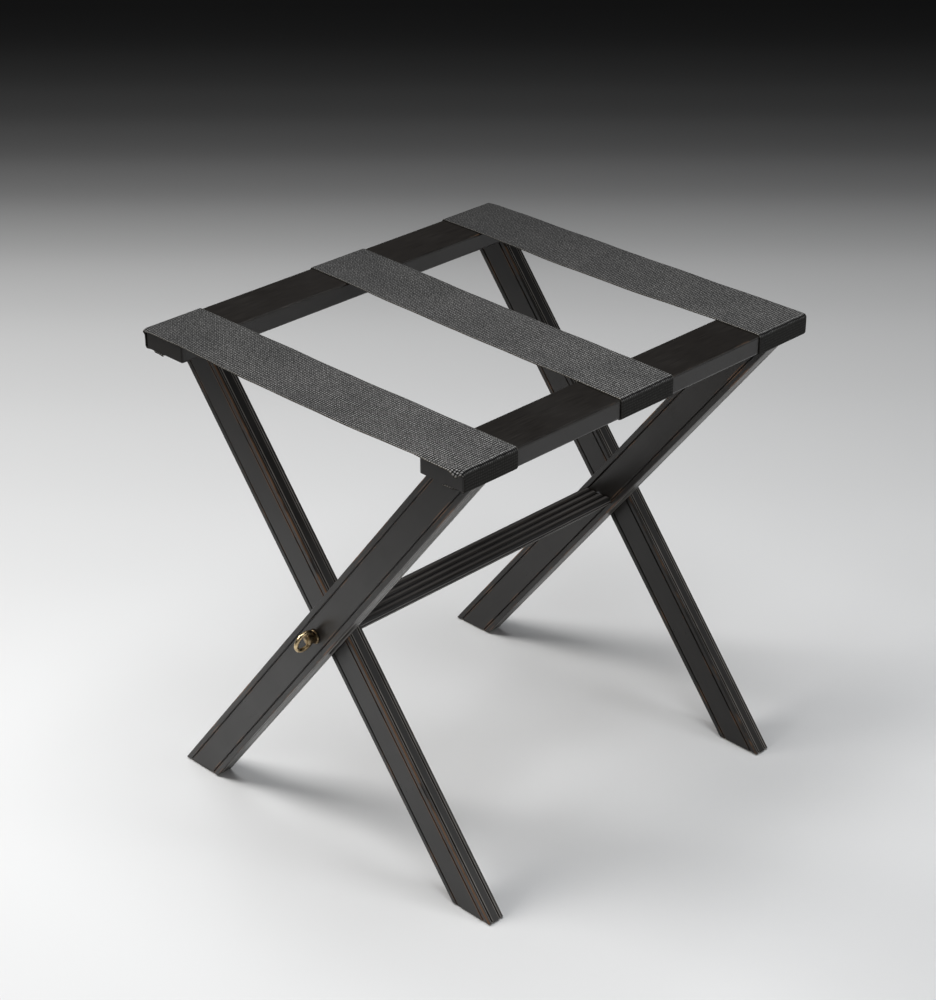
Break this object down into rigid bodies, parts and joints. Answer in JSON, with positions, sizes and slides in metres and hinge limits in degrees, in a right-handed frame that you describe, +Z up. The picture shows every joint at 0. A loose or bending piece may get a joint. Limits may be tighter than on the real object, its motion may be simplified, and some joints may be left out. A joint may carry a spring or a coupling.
{
  "type": "folding luggage rack",
  "caption": "Folding wooden luggage rack: crossed reeded legs hinged on a stretcher with brass ring nuts, plain top rails and webbing straps that stop it when open.",
  "frame": {"origin": "on the floor, at the middle of the open rack", "axes": "+X along the straps, from rail A to rail B; +Y along the top rails, from the near end to the far end; +Z up"},
  "size_m": [0.451, 0.5148, 0.52],
  "materials": {
    "black_wood": "satin",
    "webbing": "matte",
    "brass": "worn satin",
    "steel": "plain",
    "nylon": "matte"
  },
  "bodies": {
    "pivot": {"stretcher": "black_wood", "stud_near": "steel", "stud_far": "steel", "ring_nut_near": "brass", "ring_nut_far": "brass", "pivot_washers": "steel", "strap_near": "webbing", "strap_middle": "webbing", "strap_far": "webbing"},
    "frame_a": {"rail_a": "black_wood", "leg_a_near": "black_wood", "leg_a_far": "black_wood", "leg_screws_a": "steel", "strap_tacks_a": "brass", "foot_pad_a_near": "nylon", "foot_pad_a_far": "nylon", "strap_end_a_near": "webbing", "strap_end_a_middle": "webbing", "strap_end_a_far": "webbing"},
    "frame_b": {"rail_b": "black_wood", "leg_b_near": "black_wood", "leg_b_far": "black_wood", "leg_screws_b": "steel", "strap_tacks_b": "brass", "foot_pad_b_near": "nylon", "foot_pad_b_far": "nylon", "strap_end_b_near": "webbing", "strap_end_b_middle": "webbing", "strap_end_b_far": "webbing"}
  },
  "joints": [
    {"name": "fold_a", "type": "hinge", "parent": "pivot", "child": "frame_a", "pos_m": [0, 0, 0.25025], "axis": [0, 1, 0], "range_deg": [0, 29], "deforming": ["strap_near", "strap_middle", "strap_far"]},
    {"name": "fold_b", "type": "hinge", "parent": "pivot", "child": "frame_b", "pos_m": [0, 0, 0.25025], "axis": [0, -1, 0], "range_deg": [0, 29]}
  ],
  "couplings": [
    {"joint": "fold_b", "follows": "fold_a", "ratio": 1}
  ]
}
